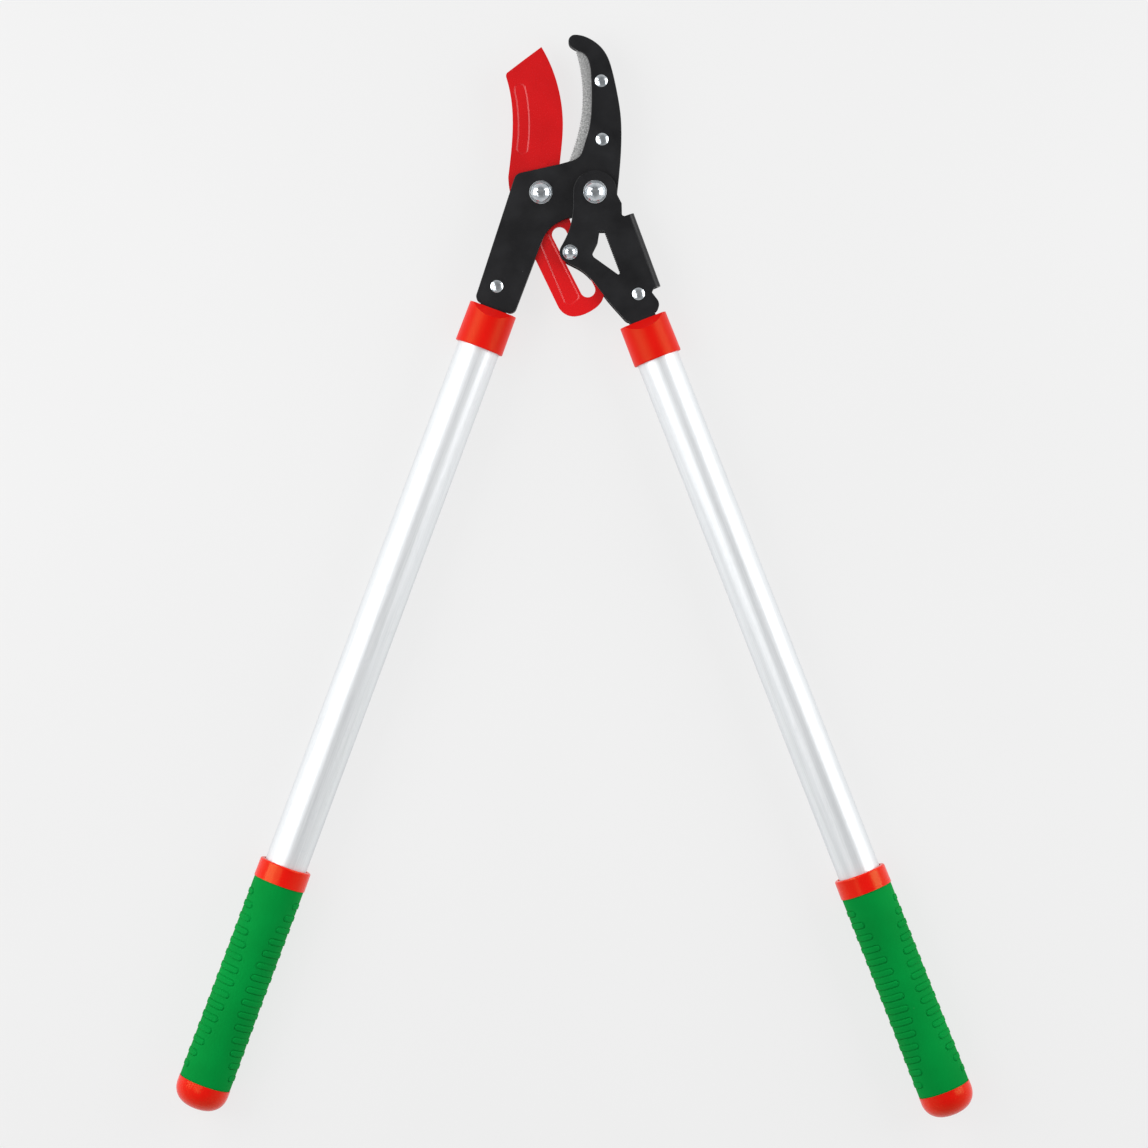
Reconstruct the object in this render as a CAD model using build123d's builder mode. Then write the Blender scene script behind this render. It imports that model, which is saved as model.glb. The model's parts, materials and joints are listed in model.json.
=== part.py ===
"""Two-handed garden loppers: a red blade closes on a toothed anvil strip through a slotted-tail linkage.

The part lies flat: +Z up from the surface it lies on, +Y towards the blade tip, origin under the
middle of its outline. Plan positions are measured from the blade bolt, heights from the head's
mid-plane, and stations along a handle from the top of its collar.
"""
import os
from math import asin, cos, degrees, radians, sin

from build123d import *

# ---------------------------------------------------------------- driving dimensions, mm and degrees
BLADE_BOLT = (-23.1, 266.7)  # blade bolt in the part's frame
MID_Z = 18.75  # head mid-plane above the surface the loppers lie on

LEVER_PIVOT = (37.8, 0.0)
DRIVE_PIVOT = (20.4, -42.1)
ANVIL_RIVETS = ((42.1, 77.8), (42.8, 37.0))
CLOSING_TURN = -13.5  # turn of the blade that brings its edge onto the anvil

# half thicknesses and heights of the stack, outwards from the mid-plane
BLADE_HALF = 2.0
PLATE_IN = 2.2
PLATE_OUT = 5.2
CHEEK_IN = 5.7
CHEEK_OUT = 8.2
RUNNING = 0.05  # radial clearance of a turning fit
EDGE_ROUND = 0.4  # rounding of the plates' outer edges

M10_R = 5.0
M6_R = 3.0
BUSH_R = 7.0
SPACER_R = 9.0
ROLLER_R = 4.0
RIVET_R = 2.5
RIVET_HEAD = {"head_r": 4.35, "rim_h": 0.5, "head_h": 1.65}
M10_HEAD = {"head_r": 8.1, "rim_h": 0.9, "head_h": 4.4, "flange": 1.1}
M6_HEAD = {"head_r": 5.25, "rim_h": 0.6, "head_h": 3.1, "flange": 0.7}
FLANGE_EDGE = 0.3
M10_KEY = 3.3
M6_KEY = 2.2
M10_BELOW = 8.0  # length of a bolt's end under the lower face
M6_BELOW = 5.6
M10_NUT = {"flats": 16.0, "height": 7.4}
M6_NUT = {"flats": 10.0, "height": 5.2}
NUT_CHAMFER = 0.35
NUT_ROUND = 0.8
WASHER_R = 9.5
SIDE_GAP = 0.1  # play beside the roller and under the washers

HOOK_TIP = (23.8, 105.5)
HOOK_TIP_R = 4.6
HOOK_LOBE_R = 15.6
CHEEK_LOBE_R = 15.2
BOSS_R = 7.4

SLOT_MIDDLE = (22.85, -48.6)
SLOT_END = (32.7, -67.9)
SLOT_R = 5.3

# cutting edge from under the plates to the tip, and the ground flank beside it
EDGE = ((12.4, 14.0), (14.0, 28.2), (15.3, 50.5), (12.7, 71.1), (0.3, 102.2))
EDGE_HALF = 0.35
GRIND_WIDTH = 15.0
GRIND_FOOT = ((-4.2, 22.7), (6.4, 18.8))
RECESS_DEPTH = 0.45
RECESS_WALL = 66  # lean of the recesses' walls

TEETH = 52
TOOTH_DEPTH = 1.0
TOOTH_START = 0.06  # where the teeth begin along the edge, hidden between the plates

# handles
SIDES = {
    "left": {"top": (-33.5, -81.5), "angle": -20.44, "stack": PLATE_OUT, "gap": PLATE_IN},
    "right": {"top": (71.3, -89.2), "angle": 21.4, "stack": CHEEK_OUT, "gap": CHEEK_IN},
}
ARM_RIVETS = {"left": (-30.8, -65.8), "right": (68.1, -71.3)}
TANG_W = 19.0
TANG_TOP = -8.0
TANG_END = 46.0
TANG_FIT = 0.4  # play of the tangs in the collar's slot
FILLER_TOP = -24.0
FILLER_W = 16.0
FILLER_END = TANG_END - 2.0
CROSS_RIVET_AT = 18.0
CROSS_RIVET_HALF = 14.7

COLLAR_R = 17.0
COLLAR_END_R = 17.3
COLLAR_LEN = 28.8
COLLAR_ROUND = 0.8
COLLAR_FLAT = 9.4  # half thickness of the collar's end face between its slanted flats
COLLAR_FLAT_LEN = 6.4
TUBE_R = 15.0
TUBE_WALL = 1.5
TUBE_TOP = 6.8
TUBE_END = 574.0
RING_TOP = 415.0
RING_END = 428.5
RING_TOP_R = 18.5
RING_R = 18.7
RING_ROUND = 1.3
MOUTH_R = 15.9  # flared mouth of the ring, round the tube
MOUTH_END = 419.0
CORE_R = 16.0
SLEEVE_R = 18.1
SLEEVE_END_R = 18.4
FLARE_TOP = 507.5
CAP_TOP = 577.5
CAP_R = 18.7
CAP_RIM = 581.5
CAP_END = 596.5
PLUG_TOP = 554.0  # inner end of the cap's plug in the tube

# lever bracket's folded web
WEB_TOP = (64.8, -14.6)
WEB_FOOT = (83.5, -65.2)
WEB_THICK = 2.5
WEB_BEND = 4.5
WEB_DEPTH = 8.0

# window of the bracket, whose long side is finely serrated
WINDOW_TOP = (44.4, -27.4)
WINDOW_FOOT = (55.4, -56.6)
WINDOW_TEETH = 22
WINDOW_TOOTH_DEPTH = 0.5

os.makedirs("parts", exist_ok=True)


# ---------------------------------------------------------------- places
def level(z):
    """Horizontal plane at height z from the head's mid-plane, with its origin on the blade bolt."""
    return Plane(origin=(BLADE_BOLT[0], BLADE_BOLT[1], MID_Z + z))


def upright(centre):
    """Plane through a bolt's axis: local x is the radius, local y the height from the mid-plane."""
    origin = (BLADE_BOLT[0] + centre[0], BLADE_BOLT[1] + centre[1], MID_Z)
    return Plane(origin=origin, x_dir=(1, 0, 0), z_dir=(0, -1, 0))


def handle_axes(side):
    """Origin, crosswise direction and lengthwise direction of a handle, in the part's frame."""
    top, angle = SIDES[side]["top"], radians(SIDES[side]["angle"])
    origin = (BLADE_BOLT[0] + top[0], BLADE_BOLT[1] + top[1], MID_Z)
    return origin, (cos(angle), sin(angle), 0), (sin(angle), -cos(angle), 0)


def lengthwise(side):
    """Plane through a handle's axis: local x is the radius, local y the station."""
    origin, across, _ = handle_axes(side)
    return Plane(origin=origin, x_dir=across, z_dir=(0, 0, -1))


def crosswise(side, station):
    """Plane square to a handle: local x across it, local y up, facing down the handle."""
    origin, across, down = handle_axes(side)
    return Plane(origin=origin, x_dir=across, z_dir=down).offset(station)


def on_handle(side, across, station):
    """Plan position of a point of a handle, from the blade bolt."""
    top, angle = SIDES[side]["top"], radians(SIDES[side]["angle"])
    x = top[0] + across * cos(angle) + station * sin(angle)
    y = top[1] + across * sin(angle) - station * cos(angle)
    return (x, y)


def turned(point, angle):
    """A plan position turned about the blade bolt."""
    turn = radians(angle)
    x = point[0] * cos(turn) - point[1] * sin(turn)
    y = point[0] * sin(turn) + point[1] * cos(turn)
    return (x, y)


def on_rim(centre, radius, angle):
    """Point of a circle at an angle."""
    return (centre[0] + radius * cos(radians(angle)), centre[1] + radius * sin(radians(angle)))


def clockwise(angle):
    """Direction of clockwise travel at an angle of a circle."""
    return (sin(radians(angle)), -cos(radians(angle)))


def save(part, name):
    """Label a finished piece and write its STEP file."""
    part.label = name
    export_step(part, f"parts/{name}.step")


# ---------------------------------------------------------------- shared shapes
def corner(sketch, point, radius):
    """Round the corner of a sketch that lies nearest to a plan position."""
    near = sketch.vertices().sort_by(lambda v: (v.X - point[0]) ** 2 + (v.Y - point[1]) ** 2)[0]
    fillet(near, radius)


def strip_on_handle(side, width, start, end):
    """Flat bar along a handle's axis, for the current sketch."""
    half = width / 2
    ends = ((-half, start), (half, start), (half, end), (-half, end))
    Polygon(*[on_handle(side, across, station) for across, station in ends], align=None)


def dome(radius, rim, top):
    """Arc of a domed head, from its rim up to the axis, for the current line."""
    rise = top - rim
    sphere = (radius**2 + rise**2) / (2 * rise)
    reach = degrees(asin(radius / sphere))
    CenterArc((0, top - sphere), sphere, 90 - reach, reach)


def domed_pin(centre, shank, foot, bottom, head_r, rim_h, head_h, flange=0):
    """Turned pin with a domed head that stands on height foot, and may have a flat flange round it."""
    plane = upright(centre)
    rim = [(head_r - flange, foot + rim_h)]
    if flange:
        rim += [(head_r - FLANGE_EDGE, foot + rim_h), (head_r, foot + rim_h - FLANGE_EDGE)]
    with BuildPart() as pin:
        with BuildSketch(plane):
            with BuildLine():
                dome(head_r - flange, foot + rim_h, foot + head_h)
                Polyline(
                    *rim,
                    (head_r, foot),
                    (shank, foot),
                    (shank, bottom),
                    (0, bottom),
                    (0, foot + head_h),
                )
            make_face()
        revolve(axis=Axis(plane.origin, (0, 0, 1)))
    return pin.part


def bolt(centre, shank, foot, bottom, head, key_r):
    """Flanged button-head bolt with a six-lobe recess of radius key_r."""
    blank = domed_pin(centre, shank, foot, bottom, **head)
    with BuildPart() as screw:
        add(blank)
        with BuildSketch(level(foot + head["head_h"])):
            with Locations(centre):
                Circle(0.7 * key_r)
                with PolarLocations(0.74 * key_r, 6):
                    Circle(0.26 * key_r)
        extrude(amount=-0.6 * head["head_h"], mode=Mode.SUBTRACT)
        fillet(screw.edges().filter_by(GeomType.CIRCLE).group_by(Axis.Z)[0], 0.4)
    return screw.part


def riveted(centre, reach):
    """Rivet with a domed head on each side, at heights +reach and -reach."""
    half = domed_pin(centre, RIVET_R, reach, 0, **RIVET_HEAD)
    with BuildPart() as rivet:
        add(half)
        mirror(about=level(0))
    return rivet.part


def lock_nut(centre, hole, seat, flats, height):
    """Hex lock nut hanging under height seat, with the round collar of its insert."""
    hex_h = 0.68 * height
    with BuildPart() as nut:
        with BuildSketch(level(seat)):
            with Locations(centre):
                RegularPolygon(flats / 2, 6, major_radius=False)
        extrude(amount=-hex_h)
        chamfer(nut.faces().sort_by(Axis.Z)[-1].edges(), NUT_CHAMFER)
        with BuildSketch(level(seat - hex_h)):
            with Locations(centre):
                Circle(0.44 * flats)
        extrude(amount=-(height - hex_h))
        fillet(nut.faces().sort_by(Axis.Z)[0].edges(), NUT_ROUND)
        with BuildSketch(level(seat)):
            with Locations(centre):
                Circle(hole)
        extrude(amount=-height, mode=Mode.SUBTRACT)
    return nut.part


def ring(centre, outer, inner, low, high):
    """Plain ring between two heights."""
    with BuildPart() as washer:
        with BuildSketch(level(low)):
            with Locations(centre):
                Circle(outer)
                Circle(inner, mode=Mode.SUBTRACT)
        extrude(amount=high - low)
    return washer.part


# ---------------------------------------------------------------- blade
with BuildPart() as flank_cutter:
    with BuildLine() as grind_path:
        edge = Spline(*EDGE)
        Line(edge @ 1, edge @ 1 + 12 * (edge % 1))
    slope = (BLADE_HALF - EDGE_HALF) / GRIND_WIDTH
    with BuildSketch(Plane(origin=edge @ 0, x_dir=(0, 0, 1), z_dir=edge % 0)):
        with BuildLine():
            Polyline(
                (EDGE_HALF - 2 * slope, 2),
                (BLADE_HALF, -GRIND_WIDTH),
                (2 * BLADE_HALF, -GRIND_WIDTH),
                (2 * BLADE_HALF, 2),
                close=True,
            )
        make_face()
    sweep(path=grind_path.wire())
    foot_start, foot_end = Vector(*GRIND_FOOT[0]), Vector(*GRIND_FOOT[1])
    foot = foot_end - foot_start
    split(bisect_by=Plane(origin=foot_start + (0, 0, BLADE_HALF), z_dir=(-foot.Y, foot.X, foot.length)))
    mirror(about=Plane.XY)

with BuildPart() as recess_cutter:
    with BuildSketch(Plane.XY.offset(BLADE_HALF - RECESS_DEPTH)) as recesses:
        with BuildLine(mode=Mode.PRIVATE) as spine:
            ThreePointArc((-14.7, 72.4), (-12.0, 50.0), (-13.0, 31.0))
        SlotArc(spine.edge(), 6.5)
        with BuildLine():
            Polyline((0.3, -36.0), (3.5, -27.3), (26.6, -73.5), (18.4, -79.6), close=True)
        make_face()
        corner(recesses, (26.6, -73.5), 3.0)
        corner(recesses, (18.4, -79.6), 3.5)
    extrude(amount=RECESS_DEPTH, taper=-RECESS_WALL)
    mirror(about=Plane.XY)

with BuildPart() as blade:
    with BuildSketch(level(-BLADE_HALF)) as blade_outline:
        with BuildLine():
            front = Spline(*EDGE)
            Line(front @ 1, (-25.0, 82.9))
            Spline((-25.0, 82.9), (-20.2, 59.5), (-20.0, 40.0), (-22.9, 11.0))
            Spline((-22.9, 11.0), (-19.5, -8.0), (-4.3, -45.8), tangents=((0.02, -1), (0.42, -0.9)))
            Line((-4.3, -45.8), (11.6, -78.8))
            Spline((11.6, -78.8), (21.8, -86.4), (34.0, -83.2), (42.4, -76.0), (42.2, -63.8))
            Line((42.2, -63.8), (22.6, -25.2))
            Spline((22.6, -25.2), (16.8, -6.0), front @ 0, tangents=((-0.45, 0.9), front % 0))
        make_face()
        corner(blade_outline, (-25.0, 82.9), 3.0)
        Circle(BUSH_R + RUNNING, mode=Mode.SUBTRACT)
        SlotCenterPoint(SLOT_MIDDLE, SLOT_END, 2 * SLOT_R, mode=Mode.SUBTRACT)
    extrude(amount=2 * BLADE_HALF)
    add(flank_cutter.part.moved(level(0).location), mode=Mode.SUBTRACT)
    add(recess_cutter.part.moved(level(0).location), mode=Mode.SUBTRACT)
save(blade.part, "blade")

# ---------------------------------------------------------------- hook plates and anvil
with BuildPart() as hook_plate_front:
    with BuildSketch(level(PLATE_IN)) as hook_outline:
        with BuildLine():
            outer = Spline(
                on_rim(HOOK_TIP, HOOK_TIP_R, 90),
                (30.0, 109.1),
                (36.4, 106.0),
                (42.2, 101.2),
                (46.6, 94.6),
                (49.6, 86.0),
                (53.2, 70.0),
                (55.8, 53.0),
                (56.3, 40.0),
                (55.9, 27.0),
                (54.8, 13.0),
                on_rim(LEVER_PIVOT, HOOK_LOBE_R, 0),
            )
            lobe = ThreePointArc(
                outer @ 1,
                on_rim(LEVER_PIVOT, HOOK_LOBE_R, -45),
                on_rim(LEVER_PIVOT, HOOK_LOBE_R, -90),
            )
            Spline(
                lobe @ 1,
                (20.2, -17.6),
                (8.4, -23.5),
                (0.0, -35.8),
                tangents=(clockwise(-90), (-18.9, -49.8)),
            )
            Polyline((0.0, -35.8), (-18.9, -85.6), (-46.4, -75.4), (-17.6, 12.9), (12.7, 19.6))
            Spline(
                (12.7, 19.6),
                (20.0, 21.6),
                (26.4, 24.6),
                (30.4, 33.4),
                (33.4, 43.5),
                (35.0, 55.0),
                (35.4, 68.0),
                (35.0, 81.0),
                (33.7, 90.5),
                (30.6, 96.4),
                (25.5, 99.2),
                on_rim(HOOK_TIP, HOOK_TIP_R, 225),
            )
            ThreePointArc(
                on_rim(HOOK_TIP, HOOK_TIP_R, 225),
                on_rim(HOOK_TIP, HOOK_TIP_R, 160),
                on_rim(HOOK_TIP, HOOK_TIP_R, 90),
            )
        make_face()
        corner(hook_outline, (-17.6, 12.9), 6.0)
        corner(hook_outline, (-18.9, -85.6), 4.5)
        corner(hook_outline, (-46.4, -75.4), 4.5)
        strip_on_handle("left", TANG_W, TANG_TOP, TANG_END)
        with Locations((0, 0), LEVER_PIVOT):
            Circle(M10_R + RUNNING, mode=Mode.SUBTRACT)
        with Locations(*ANVIL_RIVETS, ARM_RIVETS["left"], on_handle("left", 0, CROSS_RIVET_AT)):
            Circle(RIVET_R, mode=Mode.SUBTRACT)
    extrude(amount=PLATE_OUT - PLATE_IN)
    fillet(hook_plate_front.faces().sort_by(Axis.Z)[-1].outer_wire().edges(), EDGE_ROUND)
save(hook_plate_front.part, "hook_plate_front")

with BuildPart() as hook_plate_back:
    mirror(hook_plate_front.part, about=level(0))
save(hook_plate_back.part, "hook_plate_back")

with BuildPart() as anvil_strip:
    with BuildSketch(level(-PLATE_IN)):
        with BuildLine(mode=Mode.PRIVATE):
            bite = Spline(*[turned(point, CLOSING_TURN) for point in EDGE])
        teeth = []
        for step in range(2 * TEETH + 1):
            along = TOOTH_START + (1 - TOOTH_START) * step / (2 * TEETH)
            way = bite % along
            inwards = Vector(way.Y, -way.X) * (TOOTH_DEPTH * (step % 2))
            teeth.append(bite @ along + inwards)
        with BuildLine():
            Polyline(*teeth)
            back = Spline(teeth[-1], (37.0, 98.0), (46.0, 82.0), (50.0, 52.0), (48.0, 26.0))
            Line(back @ 1, teeth[0])
        make_face()
        with Locations(*ANVIL_RIVETS):
            Circle(RIVET_R, mode=Mode.SUBTRACT)
    extrude(amount=2 * PLATE_IN)
save(anvil_strip.part, "anvil_strip")

with BuildPart() as anvil_rivets:
    for place in ANVIL_RIVETS:
        add(riveted(place, PLATE_OUT))
save(anvil_rivets.part, "anvil_rivets")

# ---------------------------------------------------------------- pivots
save(bolt((0, 0), M10_R, PLATE_OUT, -PLATE_OUT - M10_BELOW, M10_HEAD, M10_KEY), "blade_bolt")
save(lock_nut((0, 0), M10_R, -PLATE_OUT, **M10_NUT), "blade_nut")
save(ring((0, 0), BUSH_R, M10_R, -PLATE_IN, PLATE_IN), "blade_bush")
save(ring(LEVER_PIVOT, SPACER_R, M10_R + RUNNING, -PLATE_IN, PLATE_IN), "pivot_spacer")
save(bolt(LEVER_PIVOT, M10_R, CHEEK_OUT, -CHEEK_OUT - M10_BELOW, M10_HEAD, M10_KEY), "lever_bolt")
save(lock_nut(LEVER_PIVOT, M10_R, -CHEEK_OUT, **M10_NUT), "lever_nut")
save(bolt(DRIVE_PIVOT, M6_R, CHEEK_OUT, -CHEEK_OUT - M6_BELOW, M6_HEAD, M6_KEY), "drive_bolt")
save(lock_nut(DRIVE_PIVOT, M6_R, -CHEEK_OUT, **M6_NUT), "drive_nut")
roller_half = CHEEK_IN - SIDE_GAP
save(ring(DRIVE_PIVOT, ROLLER_R, M6_R + RUNNING, -roller_half, roller_half), "drive_roller")

with BuildPart() as lever_washers:
    add(ring(LEVER_PIVOT, WASHER_R, M10_R, PLATE_OUT + SIDE_GAP, CHEEK_IN))
    mirror(about=level(0))
save(lever_washers.part, "lever_washers")

# ---------------------------------------------------------------- lever bracket
web_dir = (Vector(*WEB_FOOT) - Vector(*WEB_TOP)).normalized()
web_out = Vector(-web_dir.Y, web_dir.X)

with BuildPart() as lever_bracket:
    with BuildSketch(level(CHEEK_IN)) as cheek_outline:
        with BuildLine():
            lobe = ThreePointArc(*[on_rim(LEVER_PIVOT, CHEEK_LOBE_R, angle) for angle in (180, 90, -5)])
            Polyline(
                lobe @ 1,
                (56.4, -8.0),
                (56.6, -16.4),
                (60.2, -17.2),
                (78.7, -67.3),
                (77.4, -70.0),
                (86.0, -81.0),
                (61.0, -91.9),
                (49.6, -79.2),
            )
            boss = ThreePointArc(*[on_rim(DRIVE_PIVOT, BOSS_R, angle) for angle in (-122, 180, 150)])
            Spline((49.6, -79.2), (37.8, -64.2), (28.5, -54.9), boss @ 0, tangents=((-11.4, 12.7), boss % 0))
            Spline(boss @ 1, (20.2, -24.9), lobe @ 0, tangents=(boss % 1, lobe % 0))
        make_face()
        corner(cheek_outline, on_rim(LEVER_PIVOT, CHEEK_LOBE_R, -5), 3.0)
        corner(cheek_outline, (56.6, -16.4), 1.2)
        corner(cheek_outline, (86.0, -81.0), 6.0)
        corner(cheek_outline, (61.0, -91.9), 5.0)
        strip_on_handle("right", TANG_W, TANG_TOP, TANG_END)
    extrude(amount=CHEEK_OUT - CHEEK_IN)
    fillet(lever_bracket.faces().sort_by(Axis.Z)[-1].edges(), EDGE_ROUND)
    mirror(about=level(0))
    web_top = level(0).from_local_coords(Vector(*WEB_TOP))
    web_len = (Vector(*WEB_FOOT) - Vector(*WEB_TOP)).length
    with BuildSketch(Plane(origin=web_top, x_dir=web_out, z_dir=web_dir)) as channel:
        with Locations((-WEB_DEPTH / 2, 0)):
            Rectangle(WEB_DEPTH, 2 * CHEEK_OUT)
        fillet(channel.vertices().group_by(Axis.X)[-1], WEB_BEND)
        with BuildSketch(mode=Mode.PRIVATE) as hollow:
            with Locations((-WEB_THICK - WEB_DEPTH / 2, 0)):
                Rectangle(WEB_DEPTH, 2 * CHEEK_IN)
            fillet(hollow.vertices().group_by(Axis.X)[-1], WEB_BEND - WEB_THICK)
        add(hollow.sketch, mode=Mode.SUBTRACT)
    extrude(amount=web_len)
    with BuildSketch(level(-CHEEK_OUT)) as window:
        top, foot = Vector(*WINDOW_TOP), Vector(*WINDOW_FOOT)
        outwards = Vector(top.Y - foot.Y, foot.X - top.X).normalized() * WINDOW_TOOTH_DEPTH
        serrated = []
        for step in range(2 * WINDOW_TEETH + 1):
            serrated.append(top + (foot - top) * (step / (2 * WINDOW_TEETH)) + outwards * (step % 2))
        with BuildLine():
            Polyline(*serrated, (54.0, -57.8), (35.0, -44.2), (39.6, -35.0), (40.8, -27.4), close=True)
        make_face()
        corner(window, (35.0, -44.2), 3.6)
        corner(window, (39.6, -35.0), 6.0)
    extrude(amount=2 * CHEEK_OUT, mode=Mode.SUBTRACT)
    with BuildSketch(level(-CHEEK_OUT)):
        with Locations(LEVER_PIVOT):
            Circle(M10_R)
        with Locations(DRIVE_PIVOT):
            Circle(M6_R)
        with Locations(ARM_RIVETS["right"], on_handle("right", 0, CROSS_RIVET_AT)):
            Circle(RIVET_R)
    extrude(amount=2 * CHEEK_OUT, mode=Mode.SUBTRACT)
save(lever_bracket.part, "lever_bracket")


# ---------------------------------------------------------------- handles
def handle(side):
    """Every piece of one handle, from the bar between the tangs to the end cap."""
    gap, stack = SIDES[side]["gap"], SIDES[side]["stack"]
    origin, across, down = handle_axes(side)
    axis = Axis(origin, down)

    with BuildPart() as filler:
        with BuildSketch(level(-gap)):
            strip_on_handle(side, FILLER_W, FILLER_TOP, FILLER_END)
            with Locations(ARM_RIVETS[side], on_handle(side, 0, CROSS_RIVET_AT)):
                Circle(RIVET_R, mode=Mode.SUBTRACT)
        extrude(amount=2 * gap)
    save(filler.part, f"{side}_filler")

    save(riveted(ARM_RIVETS[side], stack), f"{side}_arm_rivet")

    with BuildPart() as cross_rivet:
        with BuildSketch(level(-CROSS_RIVET_HALF)):
            with Locations(on_handle(side, 0, CROSS_RIVET_AT)):
                Circle(RIVET_R)
        extrude(amount=2 * CROSS_RIVET_HALF)
    save(cross_rivet.part, f"{side}_cross_rivet")

    with BuildPart() as collar:
        with BuildSketch(lengthwise(side)) as half:
            with BuildLine():
                Polyline(
                    (0, 0),
                    (COLLAR_R, 0),
                    (COLLAR_END_R, COLLAR_LEN),
                    (TUBE_R, COLLAR_LEN),
                    (TUBE_R, TUBE_TOP),
                    (0, TUBE_TOP),
                    close=True,
                )
            make_face()
            fillet(half.vertices().group_by(Axis.X)[-1], COLLAR_ROUND)
        revolve(axis=axis)
        with BuildSketch(Plane(origin=origin, x_dir=down, z_dir=across)):
            with BuildLine():
                Polyline((0, COLLAR_FLAT), (COLLAR_FLAT_LEN, COLLAR_END_R), (0, COLLAR_END_R), close=True)
            make_face()
            mirror(about=Plane.XZ)
        extrude(amount=2 * COLLAR_R, both=True, mode=Mode.SUBTRACT)
        with BuildSketch(crosswise(side, 0)):
            Rectangle(TANG_W + TANG_FIT, 2 * stack + TANG_FIT)
        extrude(amount=TUBE_TOP, mode=Mode.SUBTRACT)
    save(collar.part, f"{side}_collar")

    with BuildPart() as tube:
        with BuildSketch(crosswise(side, TUBE_TOP)):
            Circle(TUBE_R)
            Circle(TUBE_R - TUBE_WALL, mode=Mode.SUBTRACT)
        extrude(amount=TUBE_END - TUBE_TOP)
        with BuildSketch(level(-TUBE_R)):
            with Locations(on_handle(side, 0, CROSS_RIVET_AT)):
                Circle(RIVET_R)
        extrude(amount=2 * TUBE_R, mode=Mode.SUBTRACT)
    save(tube.part, f"{side}_tube")

    with BuildPart() as grip_core:
        with BuildSketch(lengthwise(side)) as section:
            with BuildLine():
                Polyline(
                    (TUBE_R, MOUTH_END),
                    (MOUTH_R, RING_TOP),
                    (RING_TOP_R, RING_TOP),
                    (RING_R, RING_END),
                    (CORE_R, RING_END),
                    (CORE_R, CAP_TOP),
                    (TUBE_R, CAP_TOP),
                    close=True,
                )
            make_face()
            corner(section, (RING_TOP_R, RING_TOP), RING_ROUND)
        revolve(axis=axis)
    save(grip_core.part, f"{side}_grip_core")

    with BuildPart() as grip_sleeve:
        with BuildSketch(lengthwise(side)):
            with BuildLine():
                Polyline((CORE_R, CAP_TOP), (CORE_R, RING_END), (SLEEVE_R, RING_END))
                Spline(
                    (SLEEVE_R, RING_END),
                    (SLEEVE_R, FLARE_TOP),
                    (SLEEVE_END_R, CAP_TOP),
                    tangents=((0, 1), (0, 1)),
                )
                Line((SLEEVE_END_R, CAP_TOP), (CORE_R, CAP_TOP))
            make_face()
        revolve(axis=axis)
    save(grip_sleeve.part, f"{side}_grip_sleeve")

    with BuildPart() as end_cap:
        plug_r = TUBE_R - TUBE_WALL
        with BuildSketch(lengthwise(side)):
            with BuildLine():
                Polyline(
                    (0, CAP_END),
                    (0, PLUG_TOP),
                    (plug_r, PLUG_TOP),
                    (plug_r, TUBE_END),
                    (TUBE_R, TUBE_END),
                    (TUBE_R, CAP_TOP),
                    (CAP_R, CAP_TOP),
                    (CAP_R, CAP_RIM),
                )
                Spline((CAP_R, CAP_RIM), (13.6, 592.9), (0, CAP_END), tangents=((0, 1), (-1, 0)))
            make_face()
        revolve(axis=axis)
    save(end_cap.part, f"{side}_end_cap")


for side in SIDES:
    handle(side)
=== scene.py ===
"""Looks of the anvil loppers: procedural materials, moulded grip sleeves, studio and camera."""
import json
import math

import bmesh
import bpy
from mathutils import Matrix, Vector


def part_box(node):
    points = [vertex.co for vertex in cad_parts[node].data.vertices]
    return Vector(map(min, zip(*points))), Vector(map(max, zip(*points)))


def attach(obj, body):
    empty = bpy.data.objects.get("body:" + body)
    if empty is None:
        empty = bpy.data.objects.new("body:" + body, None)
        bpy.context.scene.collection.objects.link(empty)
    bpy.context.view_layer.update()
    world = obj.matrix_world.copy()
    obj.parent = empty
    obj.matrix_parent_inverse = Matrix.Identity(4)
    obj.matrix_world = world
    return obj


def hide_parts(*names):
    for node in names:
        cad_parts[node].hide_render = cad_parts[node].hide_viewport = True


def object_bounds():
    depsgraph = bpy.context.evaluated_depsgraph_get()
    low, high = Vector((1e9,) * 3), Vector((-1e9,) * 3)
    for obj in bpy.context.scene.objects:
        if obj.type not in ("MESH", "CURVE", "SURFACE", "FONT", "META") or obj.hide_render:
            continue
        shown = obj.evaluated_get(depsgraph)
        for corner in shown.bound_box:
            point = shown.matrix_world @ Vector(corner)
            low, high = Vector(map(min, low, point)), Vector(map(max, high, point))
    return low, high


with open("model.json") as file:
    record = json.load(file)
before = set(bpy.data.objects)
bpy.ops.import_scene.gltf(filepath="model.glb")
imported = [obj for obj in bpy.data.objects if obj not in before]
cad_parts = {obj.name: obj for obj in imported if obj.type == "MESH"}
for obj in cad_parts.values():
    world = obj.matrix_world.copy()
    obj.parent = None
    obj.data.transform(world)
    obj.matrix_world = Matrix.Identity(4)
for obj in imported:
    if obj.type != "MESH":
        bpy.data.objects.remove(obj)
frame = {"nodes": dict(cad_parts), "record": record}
CAD_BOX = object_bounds()
MM = 0.001
SIDES = ("left", "right")
MOUNTS = {mount["name"]: mount for mount in frame["record"]["mounts"]}
BODY_OF_SIDE = {"left": "frame", "right": "lever"}


# ---------------------------------------------------------------- frame helpers
def handle_line(side):
    """A point of a handle's axis and the direction down the handle, from the tube's clip seat."""
    seat = MOUNTS[f"{side}_tube_clip"]
    return Vector(seat["pos_m"]), Vector(seat["axis"]).normalized()


def stations(side, node):
    """First and last place of a node along its handle, from the clip seat."""
    seat, down = handle_line(side)
    along = [(vertex.co - seat).dot(down) for vertex in frame["nodes"][node].data.vertices]
    return min(along), max(along)


def across_angle(side):
    """Turn about Z that takes the row's -Y axis onto the handle's direction."""
    down = handle_line(side)[1]
    return math.atan2(down.x, -down.y)


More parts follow.
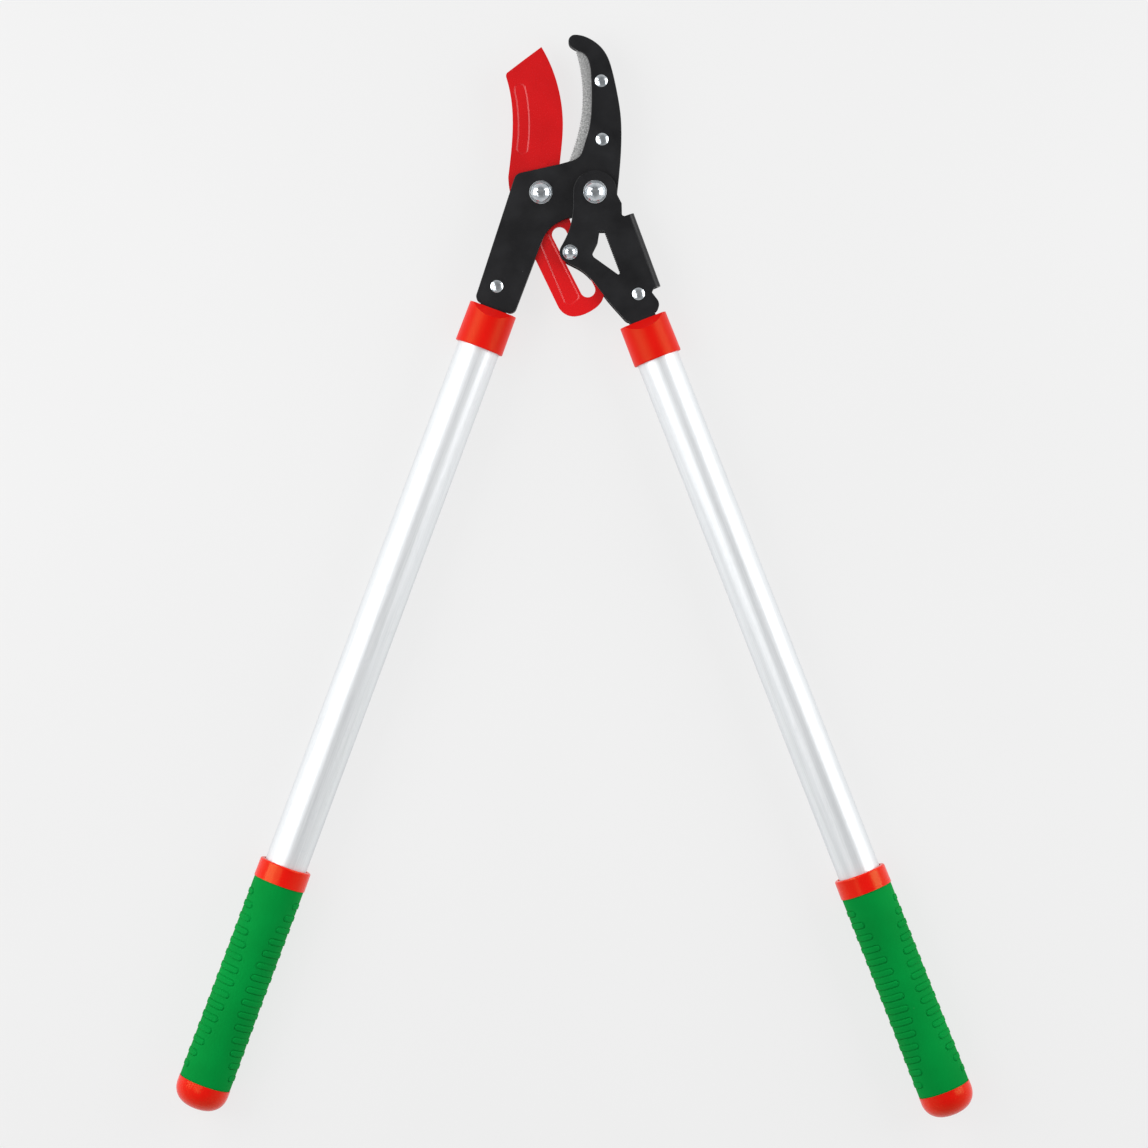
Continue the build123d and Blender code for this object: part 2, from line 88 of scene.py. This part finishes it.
# ---------------------------------------------------------------- node helpers
def set_range(node, low, high, to_low, to_high):
    """Make a Map Range node take low..high to to_low..to_high."""
    ends = {"From Min": low, "From Max": high, "To Min": to_low, "To Max": to_high}
    for name, number in ends.items():
        node.inputs[name].default_value = number


class Shade:
    """A node material, built step by step."""

    def __init__(self, name):
        self.material = bpy.data.materials.new(name)
        self.material.use_nodes = True
        self.tree = self.material.node_tree
        self.shader = self.tree.nodes["Principled BSDF"]
        self.coords = self.node("ShaderNodeTexCoord").outputs["Object"]

    def node(self, kind, **settings):
        made = self.tree.nodes.new(kind)
        for key, value in settings.items():
            setattr(made, key, value)
        return made

    def link(self, source, target):
        self.tree.links.new(source, target)

    def mapped(self, scale, turn=0.0):
        """Object coordinates turned about Z, then scaled."""
        turned = self.node("ShaderNodeMapping")
        turned.inputs["Rotation"].default_value = (0, 0, turn)
        self.link(self.coords, turned.inputs["Vector"])
        scaled = self.node("ShaderNodeMapping")
        scaled.inputs["Scale"].default_value = scale
        self.link(turned.outputs["Vector"], scaled.inputs["Vector"])
        return scaled.outputs["Vector"]

    def noise(self, scale, detail=3.0, rough=0.5, vector=None):
        """Noise value with features of about 1/scale metres."""
        made = self.node("ShaderNodeTexNoise")
        made.inputs["Scale"].default_value = scale
        made.inputs["Detail"].default_value = detail
        made.inputs["Roughness"].default_value = rough
        self.link(vector or self.coords, made.inputs["Vector"])
        return made.outputs["Fac"]

    def spots(self, scale):
        """Distance to the nearest of scattered points."""
        made = self.node("ShaderNodeTexVoronoi")
        made.inputs["Scale"].default_value = scale
        self.link(self.coords, made.inputs["Vector"])
        return made.outputs["Distance"]

    def remap(self, value, low, high, to_low, to_high):
        """Value taken linearly from low..high to to_low..to_high, and held at its ends."""
        made = self.node("ShaderNodeMapRange")
        set_range(made, low, high, to_low, to_high)
        self.link(value, made.inputs["Value"])
        return made.outputs["Result"]

    def combine(self, operation, first, second):
        """Result of a math operation on two values or numbers."""
        made = self.node("ShaderNodeMath", operation=operation)
        for index, value in enumerate((first, second)):
            if isinstance(value, (int, float)):
                made.inputs[index].default_value = value
            else:
                self.link(value, made.inputs[index])
        return made.outputs["Value"]

    def blend(self, factor, dark, light):
        """Colour between two others by a factor."""
        made = self.node("ShaderNodeMix", data_type="RGBA")
        self.link(factor, made.inputs["Factor"])
        for socket, colour in ((made.inputs["A"], dark), (made.inputs["B"], light)):
            if isinstance(colour, tuple):
                socket.default_value = (*colour, 1)
            else:
                self.link(colour, socket)
        return made.outputs["Result"]

    def bump(self, height, distance, strength=1.0, over=None):
        """Normal with a relief of the given distance, on top of another one."""
        made = self.node("ShaderNodeBump")
        made.inputs["Distance"].default_value = distance
        made.inputs["Strength"].default_value = strength
        self.link(height, made.inputs["Height"])
        if over:
            self.link(over, made.inputs["Normal"])
        return made.outputs["Normal"]

    def finish(self, colour, roughness, normal=None, **fixed):
        """Connect the varying inputs and set the fixed ones on the shader."""
        for value, name in ((colour, "Base Color"), (roughness, "Roughness"), (normal, "Normal")):
            if isinstance(value, float):
                self.shader.inputs[name].default_value = value
            elif value is not None:
                self.link(value, self.shader.inputs[name])
        for name, value in fixed.items():
            self.shader.inputs[name.replace("_", " ")].default_value = value
        return self.material


# ---------------------------------------------------------------- materials
TAIL_PAINTED_FILL = (-76.7 * MM, 3.3 * MM)  # Y from the blade's bolt over which the painted fill light on the tail fades from full to none
DRAG_ANGLE = math.radians(-20)  # direction of the blade's drag marks


def black_paint():
    """Satin black paint with a fine grain, a cloudy sheen and a few pale nicks."""
    shade = Shade("black_paint")
    clouds = shade.noise(55, 4)
    grain = shade.noise(2600, 2)
    nicks = shade.remap(shade.spots(95), 0.035, 0.055, 1, 0)
    worn = shade.combine("MULTIPLY", nicks, shade.remap(shade.noise(40, 2), 0.55, 0.62, 0, 1))
    cloudy = shade.remap(clouds, 0.35, 0.7, 0, 1)
    base = shade.blend(cloudy, (0.0030, 0.0030, 0.0040), (0.0062, 0.0064, 0.0080))
    colour = shade.blend(worn, base, (0.11, 0.11, 0.12))
    rough = shade.remap(clouds, 0.3, 0.7, 0.36, 0.5)
    relief = shade.bump(grain, 0.00012, 0.25)
    normal = shade.bump(clouds, 0.0006, 0.12, relief)
    return shade.finish(colour, rough, normal, Specular_IOR_Level=0.38)


def red_coating():
    """Non-stick red lacquer with fine drag marks on the blade; the tail is painted brighter, a painted fill
    light that lifts the shade the plates cast on it.
    """
    shade = Shade("red_coating")
    clouds = shade.noise(38, 3)
    drag = shade.noise(60, 3, 0.6, shade.mapped((14, 1.2, 14), DRAG_ANGLE))
    peel = shade.noise(1500, 2)
    cloudy = shade.remap(clouds, 0.3, 0.7, 0, 1)
    base = shade.blend(cloudy, (0.55, 0.0030, 0.0045), (0.64, 0.0045, 0.0065))
    place = shade.node("ShaderNodeSeparateXYZ")
    shade.link(shade.coords, place.inputs["Vector"])
    low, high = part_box("blade_bush")
    bolt = (low.y + high.y) / 2
    # Painted fill light: the lacquer is painted brighter from just above the bolt down the tail, to lift
    # the shade the plates cast there.
    tail_painted_fill = shade.remap(place.outputs["Y"], bolt + TAIL_PAINTED_FILL[0], bolt + TAIL_PAINTED_FILL[1], 1, 0)
    drag_marked = shade.blend(shade.remap(drag, 0.62, 0.75, 0, 0.12), base, (0.46, 0.006, 0.008))
    colour = shade.blend(tail_painted_fill, drag_marked, (0.72, 0.0045, 0.0065))
    rough = shade.remap(peel, 0.3, 0.7, 0.24, 0.28)
    normal = shade.bump(peel, 0.0001, 0.15)
    return shade.finish(colour, rough, normal, Specular_IOR_Level=0.42)


def blasted_steel():
    """Grit-blasted steel with a sparkling speckle."""
    shade = Shade("blasted_steel")
    speck = shade.noise(1000, 4, 0.8)
    clouds = shade.noise(90, 3)
    base = shade.blend(shade.remap(speck, 0.38, 0.62, 0, 1), (0.17, 0.175, 0.175), (0.75, 0.75, 0.745))
    colour = shade.blend(shade.remap(clouds, 0.35, 0.7, 0, 0.3), base, (0.32, 0.32, 0.32))
    rough = shade.remap(speck, 0.3, 0.7, 0.5, 0.68)
    normal = shade.bump(speck, 0.0002, 0.4)
    return shade.finish(colour, rough, normal, Metallic=0.4)


def zinc():
    """Bright zinc plating with a slight blue cast and soft drag marks."""
    shade = Shade("zinc_plate")
    clouds = shade.noise(420, 3)
    fine = shade.noise(2600, 2)
    colour = shade.blend(shade.remap(clouds, 0.35, 0.65, 0, 1), (0.70, 0.76, 0.81), (0.90, 0.94, 0.97))
    rough = shade.remap(clouds, 0.3, 0.7, 0.12, 0.22)
    normal = shade.bump(fine, 0.00005, 0.15, shade.bump(clouds, 0.0002, 0.1))
    return shade.finish(colour, rough, normal, Metallic=1.0)


def bronze():
    """Sintered bronze of the blade's bush."""
    shade = Shade("bronze")
    pores = shade.noise(2200, 3)
    colour = shade.blend(pores, (0.40, 0.24, 0.11), (0.62, 0.42, 0.22))
    rough = shade.remap(pores, 0.3, 0.7, 0.3, 0.5)
    return shade.finish(colour, rough, shade.bump(pores, 0.0001, 0.3), Metallic=1.0)


def aluminium(side):
    """Satin anodised tube: fine drawing lines along the tube and cloudy handling marks."""
    shade = Shade(f"aluminium_{side}")
    turn = -across_angle(side)
    lines = shade.noise(1400, 3, 0.6, shade.mapped((1, 0.012, 1), turn))
    broad = shade.noise(240, 2, 0.5, shade.mapped((1, 0.03, 1), turn))
    marks = shade.noise(130, 5, 0.65, shade.mapped((1, 0.45, 1), turn))
    smudge = shade.remap(marks, 0.58, 0.72, 0, 1)
    base = shade.blend(shade.remap(lines, 0.35, 0.65, 0, 1), (0.84, 0.865, 0.88), (0.92, 0.94, 0.955))
    colour = shade.blend(shade.combine("MULTIPLY", smudge, 0.3), base, (0.70, 0.73, 0.76))
    satin = shade.remap(lines, 0.3, 0.7, 0.38, 0.46)
    rough = shade.combine("ADD", satin, shade.combine("MULTIPLY", smudge, 0.1))
    normal = shade.bump(lines, 0.00003, 0.35, shade.bump(broad, 0.00012, 0.12))
    return shade.finish(colour, rough, normal, Metallic=0.5, Specular_Tint=(0.25, 0.27, 0.29, 1))


def red_plastic(name, gloss, roughness, strength):
    """Moulded orange-red plastic with faint flow marks and a very fine texture; strength scales its red."""
    shade = Shade(name)
    flow = shade.noise(45, 3, 0.5, shade.mapped((1, 0.5, 1)))
    texture = shade.noise(1700, 2)
    scuff = shade.remap(shade.noise(300, 4, 0.7), 0.62, 0.74, 0, 1)
    flowing = shade.remap(flow, 0.3, 0.7, 0, 1)
    base = shade.blend(flowing, (0.93 * strength, 0.0020, 0.0030), (1.04 * strength, 0.0035, 0.0045))
    colour = shade.blend(shade.combine("MULTIPLY", scuff, 0.18), base, (0.86, 0.05, 0.02))
    texture_rough = shade.remap(texture, 0.3, 0.7, roughness - 0.04, roughness + 0.04)
    rough = shade.combine("ADD", texture_rough, shade.combine("MULTIPLY", scuff, 0.12))
    normal = shade.bump(texture, 0.00006, 0.25, shade.bump(flow, 0.0006, 0.1))
    return shade.finish(colour, rough, normal, Specular_IOR_Level=gloss, Specular_Tint=(0.7, 1.0, 0.3, 1))


def green_rubber():
    """Matte soft-touch green with a fine moulded grain and a few light dust specks."""
    shade = Shade("green_rubber")
    clouds = shade.noise(30, 3)
    grain = shade.noise(3000, 3)
    dust = shade.remap(shade.spots(75), 0.02, 0.035, 1, 0)
    dusty = shade.combine("MULTIPLY", dust, shade.remap(shade.noise(33, 2), 0.56, 0.6, 0, 0.6))
    base = shade.blend(shade.remap(clouds, 0.3, 0.7, 0, 1), (0.0, 0.255, 0.038), (0.0, 0.298, 0.046))
    colour = shade.blend(dusty, base, (0.10, 0.42, 0.16))
    rough = shade.remap(grain, 0.3, 0.7, 0.62, 0.8)
    normal = shade.bump(grain, 0.0001, 0.35)
    return shade.finish(colour, rough, normal, Specular_IOR_Level=0.05)


def steel_grey():
    """Plain steel of the bars and spacers inside the head."""
    shade = Shade("inner_steel")
    speck = shade.noise(700, 3)
    colour = shade.blend(speck, (0.32, 0.33, 0.34), (0.5, 0.5, 0.5))
    rough = shade.remap(speck, 0.3, 0.7, 0.35, 0.5)
    return shade.finish(colour, rough, shade.bump(speck, 0.0001, 0.2), Metallic=1.0)


def paint_nodes():
    """Give every CAD node its material; what finish_of doesn't name is zinc-plated hardware."""
    black = black_paint()
    inner = steel_grey()
    plating = zinc()
    satin_red = red_plastic("collar_red", gloss=0.25, roughness=0.38, strength=0.75)
    glossy_red = red_plastic("grip_red", gloss=0.4, roughness=0.24, strength=0.86)
    finish_of = {
        "hook_plate_front": black,
        "hook_plate_back": black,
        "lever_bracket": black,
        "blade": red_coating(),
        "anvil_strip": blasted_steel(),
        "blade_bush": bronze(),
        "pivot_spacer": inner,
    }
    for side in SIDES:
        finish_of[f"{side}_filler"] = inner
        finish_of[f"{side}_collar"] = satin_red
        finish_of[f"{side}_tube"] = aluminium(side)
        finish_of[f"{side}_grip_core"] = glossy_red
        finish_of[f"{side}_end_cap"] = glossy_red
    for name, node in frame["nodes"].items():
        node.data.materials.clear()
        node.data.materials.append(finish_of.get(name, plating))


# ---------------------------------------------------------------- grip sleeves
PADS = 15
PAD_PITCH = 9.15 * MM
PAD_FIRST = 11.2 * MM  # middle of the first pad, from the sleeve's start
PAD_HALF = 1.8 * MM  # half a pad's width along the sleeve
PAD_RISE = 0.45 * MM
PAD_SLOPE = 0.9 * MM
GROOVE_DEPTH = 0.55 * MM  # groove around each pad
GROOVE_HALF = 0.55 * MM
GROOVE_AT = 0.4 * MM  # groove's middle, outside the pad's outline
PAD_WAIST = 5.0 * MM  # smallest distance of a pad's end from the sleeve's middle line
PAD_SPREAD = 9.8 * MM  # how much further out the first and last pads end
SLEEVE_R = 18.1 * MM
FLARE = 0.3 * MM
FLARE_LENGTH = 70 * MM
BORE_R = 16.05 * MM
ROLL_DEPTH = 0.3 * MM  # rounding of the sleeve's ends
ROLL_LENGTH = 0.8 * MM
ROLL = {"left": -0.02, "right": -0.09}  # how far each sleeve sits turned on its handle
ROW_STEP = 0.45 * MM
AROUND = 260  # points around a sleeve
SHARP_ANGLE = math.radians(50)


def smooth(value):
    """Soft step from 0 to 1."""
    value = min(max(value, 0.0), 1.0)
    return value * value * (3 - 2 * value)


def pad_relief(station, angle):
    """Height of the moulded pads over the sleeve. Angle 0 faces up, and the pads wrap both sides."""
    index = min(max(round((station - PAD_FIRST) / PAD_PITCH), 0), PADS - 1)
    middle = PAD_FIRST + index * PAD_PITCH
    spread = 2 * index / (PADS - 1) - 1
    inner = (PAD_WAIST + PAD_SPREAD * spread * spread) / SLEEVE_R
    reach = SLEEVE_R * (math.pi / 2 - math.asin(inner)) - PAD_HALF
    turn = abs((angle + math.pi) % (2 * math.pi) - math.pi)
    over = max(abs(turn - math.pi / 2) * SLEEVE_R - reach, 0.0)
    edge = math.hypot(over, station - middle) - PAD_HALF
    pad = PAD_RISE * smooth(0.5 - edge / PAD_SLOPE)
    groove = GROOVE_DEPTH * smooth(1 - abs(edge - GROOVE_AT) / GROOVE_HALF)
    return pad - groove


def sleeve_radius(station, length, angle):
    """Outer radius of a sleeve at a station, with its flare, rolled ends and pads."""
    flare = FLARE * smooth((station - (length - FLARE_LENGTH)) / FLARE_LENGTH)
    end = min(station, length - station)
    rolled = ROLL_DEPTH * (1 - smooth(end / ROLL_LENGTH))
    return SLEEVE_R + flare - rolled + pad_relief(station, angle)


def grip_sleeve(side):
    """Soft green sleeve with a row of raised pads on each side and a plain bore, one closed mesh."""
    seat, down = handle_line(side)
    first, last = stations(side, f"{side}_grip_sleeve")
    length = last - first
    up = Vector((0, 0, 1))
    across = down.cross(up)
    rows = round(length / ROW_STEP)
    build = bmesh.new()

    def ring(station, radius_at):
        centre = seat + down * (first + station)
        turned = (2 * math.pi * step / AROUND - math.pi for step in range(AROUND))
        outward = ((a, up * math.cos(a) + across * math.sin(a)) for a in turned)
        return [build.verts.new(centre + way * radius_at(a)) for a, way in outward]

    rings = [ring(0, lambda a: BORE_R)]
    for row in range(rows + 1):
        station = length * row / rows
        rings.append(ring(station, lambda a: sleeve_radius(station, length, a - ROLL[side])))
    rings.append(ring(length, lambda a: BORE_R))
    rings.append(rings[0])
    for near, far in zip(rings, rings[1:]):
        for step in range(AROUND):
            after = (step + 1) % AROUND
            build.faces.new((near[step], near[after], far[after], far[step]))
    bmesh.ops.recalc_face_normals(build, faces=build.faces)
    mesh = bpy.data.meshes.new(f"{side}_sleeve_mesh")
    build.to_mesh(mesh)
    build.free()
    mesh.shade_smooth()
    mesh.set_sharp_from_angle(angle=SHARP_ANGLE)
    sleeve = bpy.data.objects.new(f"{side}_sleeve", mesh)
    bpy.context.collection.objects.link(sleeve)
    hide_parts(f"{side}_grip_sleeve")
    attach(sleeve, BODY_OF_SIDE[side])
    return sleeve


# ---------------------------------------------------------------- studio
CAMERA_DISTANCE = 2.52
VIEW_WIDTH = 0.8036  # width of the view at the head's mid-plane
SENSOR = 36.0
CLIP_END = 100.0
FLOOR_HALF = 40.0
FLOOR_GLOW = 0.765
SKY_HORIZON = 0.55
SKY_ZENITH = 0.22
SKY_FALL = (0.3, 0.95)  # heights Z of the unit sphere between which the sky darkens
# name, place, point it faces, size (width along Y, length of its slope) and radiance
SOFTBOXES = (
    ("box_left", (-0.95, 0.36, 0.72), (-0.1, 0.08, 0), (1.2, 0.8), 3.2),
    ("box_right", (1.05, 0.36, 0.62), (0.12, 0.08, 0), (1.2, 0.8), 3.0),
    ("box_high", (-0.62, -0.12, 1.25), (-0.1, -0.1, 0), (1.0, 0.6), 1.5),
)


def camera():
    """Camera straight above the part, with +Y up in the picture."""
    data = bpy.data.cameras.new("camera")
    data.sensor_width = SENSOR
    data.lens = SENSOR * CAMERA_DISTANCE / VIEW_WIDTH
    data.clip_end = CLIP_END
    holder = bpy.data.objects.new("camera", data)
    bpy.context.collection.objects.link(holder)
    middle = (CAD_BOX[0].z + CAD_BOX[1].z) / 2
    holder.location = (0, 0, middle + CAMERA_DISTANCE)
    bpy.context.scene.camera = holder


def softbox(name, place, aim, size, radiance):
    """Large soft light that the camera doesn't see."""
    data = bpy.data.lights.new(name, "AREA")
    data.shape = "RECTANGLE"
    data.size, data.size_y = size
    data.energy = radiance * math.pi * size[0] * size[1]
    lamp = bpy.data.objects.new(name, data)
    bpy.context.collection.objects.link(lamp)
    lamp.location = place
    lamp.rotation_euler = (Vector(aim) - Vector(place)).to_track_quat("-Z", "Y").to_euler()
    lamp.visible_camera = False


def sky():
    """Studio fill: bright at the horizon and dark overhead, as under a dark ceiling."""
    world = bpy.data.worlds.new("studio")
    bpy.context.scene.world = world
    world.use_nodes = True
    nodes, links = world.node_tree.nodes, world.node_tree.links
    way = nodes.new("ShaderNodeTexCoord")
    split = nodes.new("ShaderNodeSeparateXYZ")
    strength = nodes.new("ShaderNodeMapRange")
    strength.interpolation_type = "SMOOTHSTEP"
    set_range(strength, *SKY_FALL, SKY_HORIZON, SKY_ZENITH)
    links.new(way.outputs["Generated"], split.inputs["Vector"])
    links.new(split.outputs["Z"], strength.inputs["Value"])
    links.new(strength.outputs["Result"], nodes["Background"].inputs["Strength"])
    nodes["Background"].inputs["Color"].default_value = (1, 1, 1, 1)


def floor():
    """Plain pale light table: it glows evenly, so shadows on it stay faint."""
    shade = Shade("floor")
    tone = shade.remap(shade.noise(3, 2), 0.3, 0.7, 0, 1)
    pale = shade.blend(tone, (0.10, 0.10, 0.10), (0.11, 0.11, 0.11))
    glow = {"Emission_Color": (1, 1, 1, 1), "Emission_Strength": FLOOR_GLOW}
    material = shade.finish(pale, 0.9, Specular_IOR_Level=0.1, **glow)
    level = CAD_BOX[0].z
    corners = [(x * FLOOR_HALF, y * FLOOR_HALF, level) for x, y in ((-1, -1), (1, -1), (1, 1), (-1, 1))]
    mesh = bpy.data.meshes.new("floor")
    mesh.from_pydata(corners, [], [(0, 1, 2, 3)])
    mesh.materials.append(material)
    ground = bpy.data.objects.new("floor", mesh)
    bpy.context.collection.objects.link(ground)


def studio():
    """Sky, floor and soft boxes: two beside the tool's head and a weaker one high on the left."""
    sky()
    floor()
    for box in SOFTBOXES:
        softbox(*box)
    bpy.context.scene.view_settings.view_transform = "Standard"


# ---------------------------------------------------------------- assembly
paint_nodes()
green = green_rubber()
for side in SIDES:
    grip_sleeve(side).data.materials.append(green)
camera()
studio()
